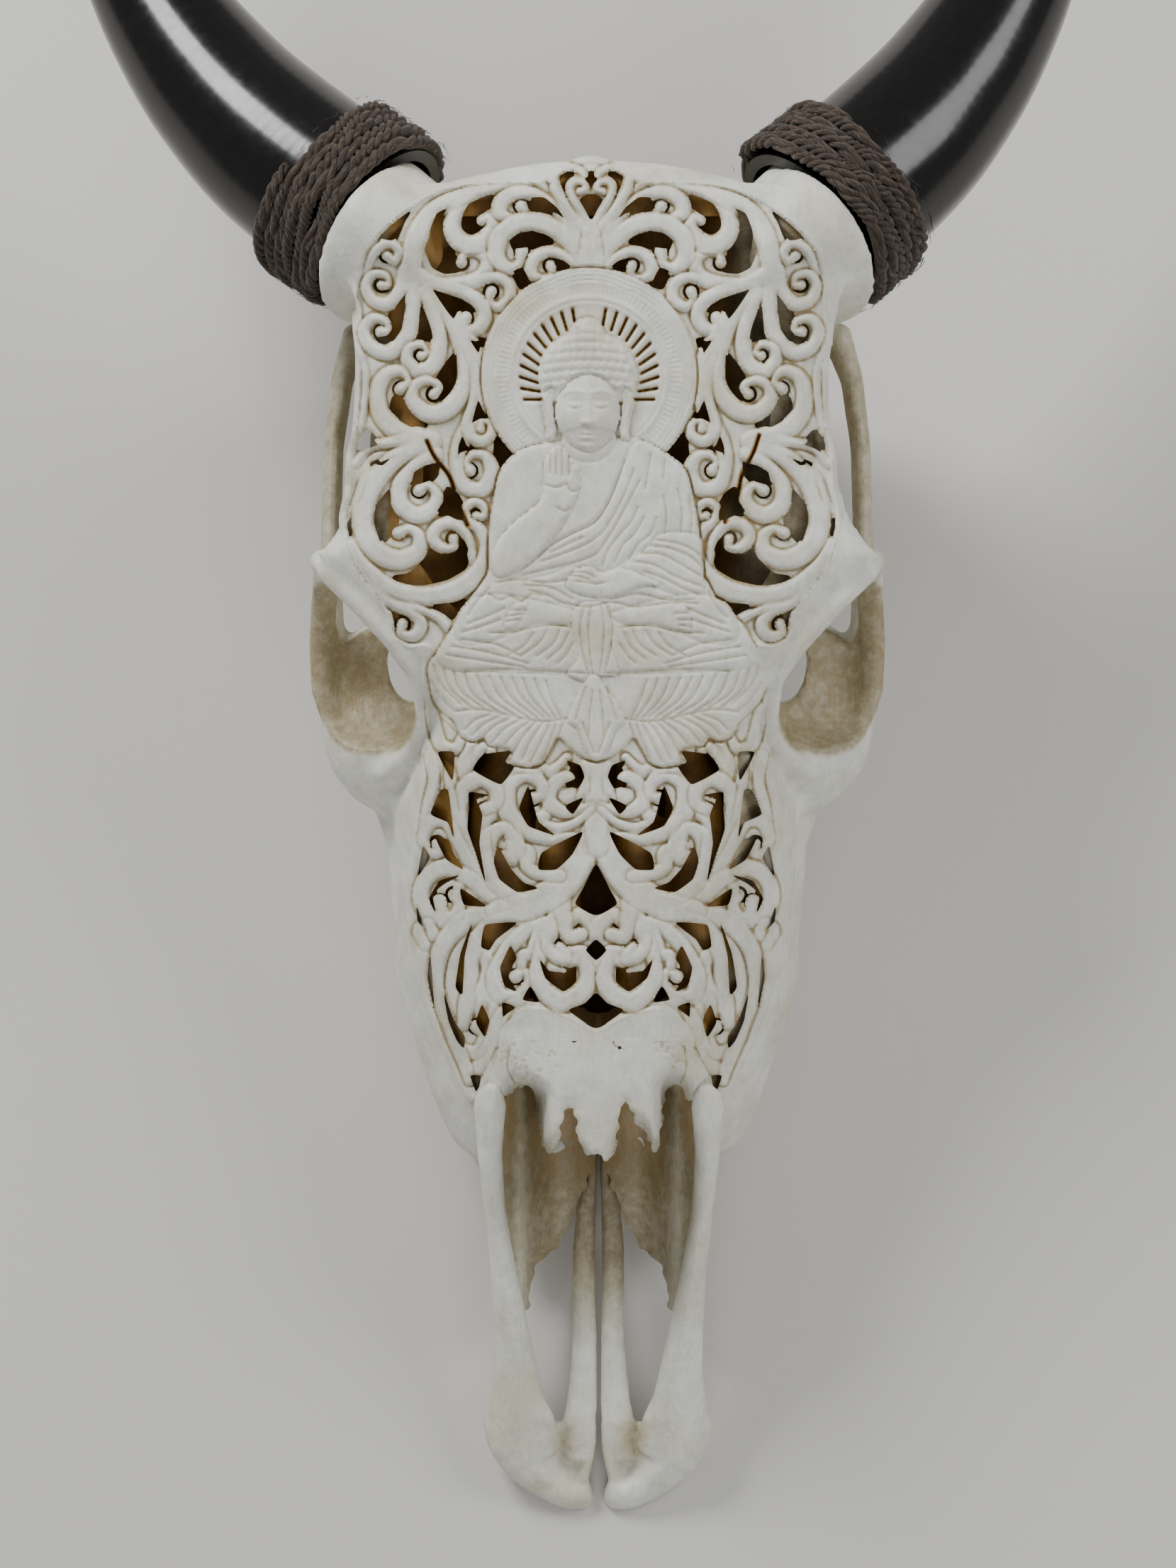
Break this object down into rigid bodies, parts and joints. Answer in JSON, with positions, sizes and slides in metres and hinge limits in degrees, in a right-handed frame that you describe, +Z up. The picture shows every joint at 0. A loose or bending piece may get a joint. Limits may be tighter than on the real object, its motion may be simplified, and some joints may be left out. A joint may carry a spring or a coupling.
{
  "type": "carved cow skull",
  "caption": "Bleached cow skull without its lower jaw, with a pierced and carved forehead and nose and polished black horns bound in rope.",
  "frame": {"origin": "middle of the bounding box, on the surface that the skull lies on", "axes": "+X to the right of the face as the viewer sees it, +Y from the muzzle towards the horns, +Z up from the surface; the forehead rises 15 degrees towards the horns"},
  "size_m": [0.4156, 0.7468, 0.19],
  "materials": {
    "bleached_bone": "bleached and dry, carved, with a soft sheen and faint yellowing in the hollows",
    "polished_black_horn": "horn sheath polished to a deep black gloss",
    "palm_fibre_rope": "rough twisted dark brown fibre rope",
    "tooth_enamel": "worn cream enamel, stained brown between its folds"
  },
  "bodies": {
    "root": {"cranium": "bleached_bone", "incisive_bone_left": "bleached_bone", "incisive_bone_right": "bleached_bone", "horn_left": "polished_black_horn", "horn_right": "polished_black_horn", "rope_left": "palm_fibre_rope", "rope_right": "palm_fibre_rope", "cheek_tooth_left_1": "tooth_enamel", "cheek_tooth_left_2": "tooth_enamel", "cheek_tooth_left_3": "tooth_enamel", "cheek_tooth_left_4": "tooth_enamel", "cheek_tooth_left_5": "tooth_enamel", "cheek_tooth_left_6": "tooth_enamel", "cheek_tooth_right_1": "tooth_enamel", "cheek_tooth_right_2": "tooth_enamel", "cheek_tooth_right_3": "tooth_enamel", "cheek_tooth_right_4": "tooth_enamel", "cheek_tooth_right_5": "tooth_enamel", "cheek_tooth_right_6": "tooth_enamel"}
  },
  "joints": []
}
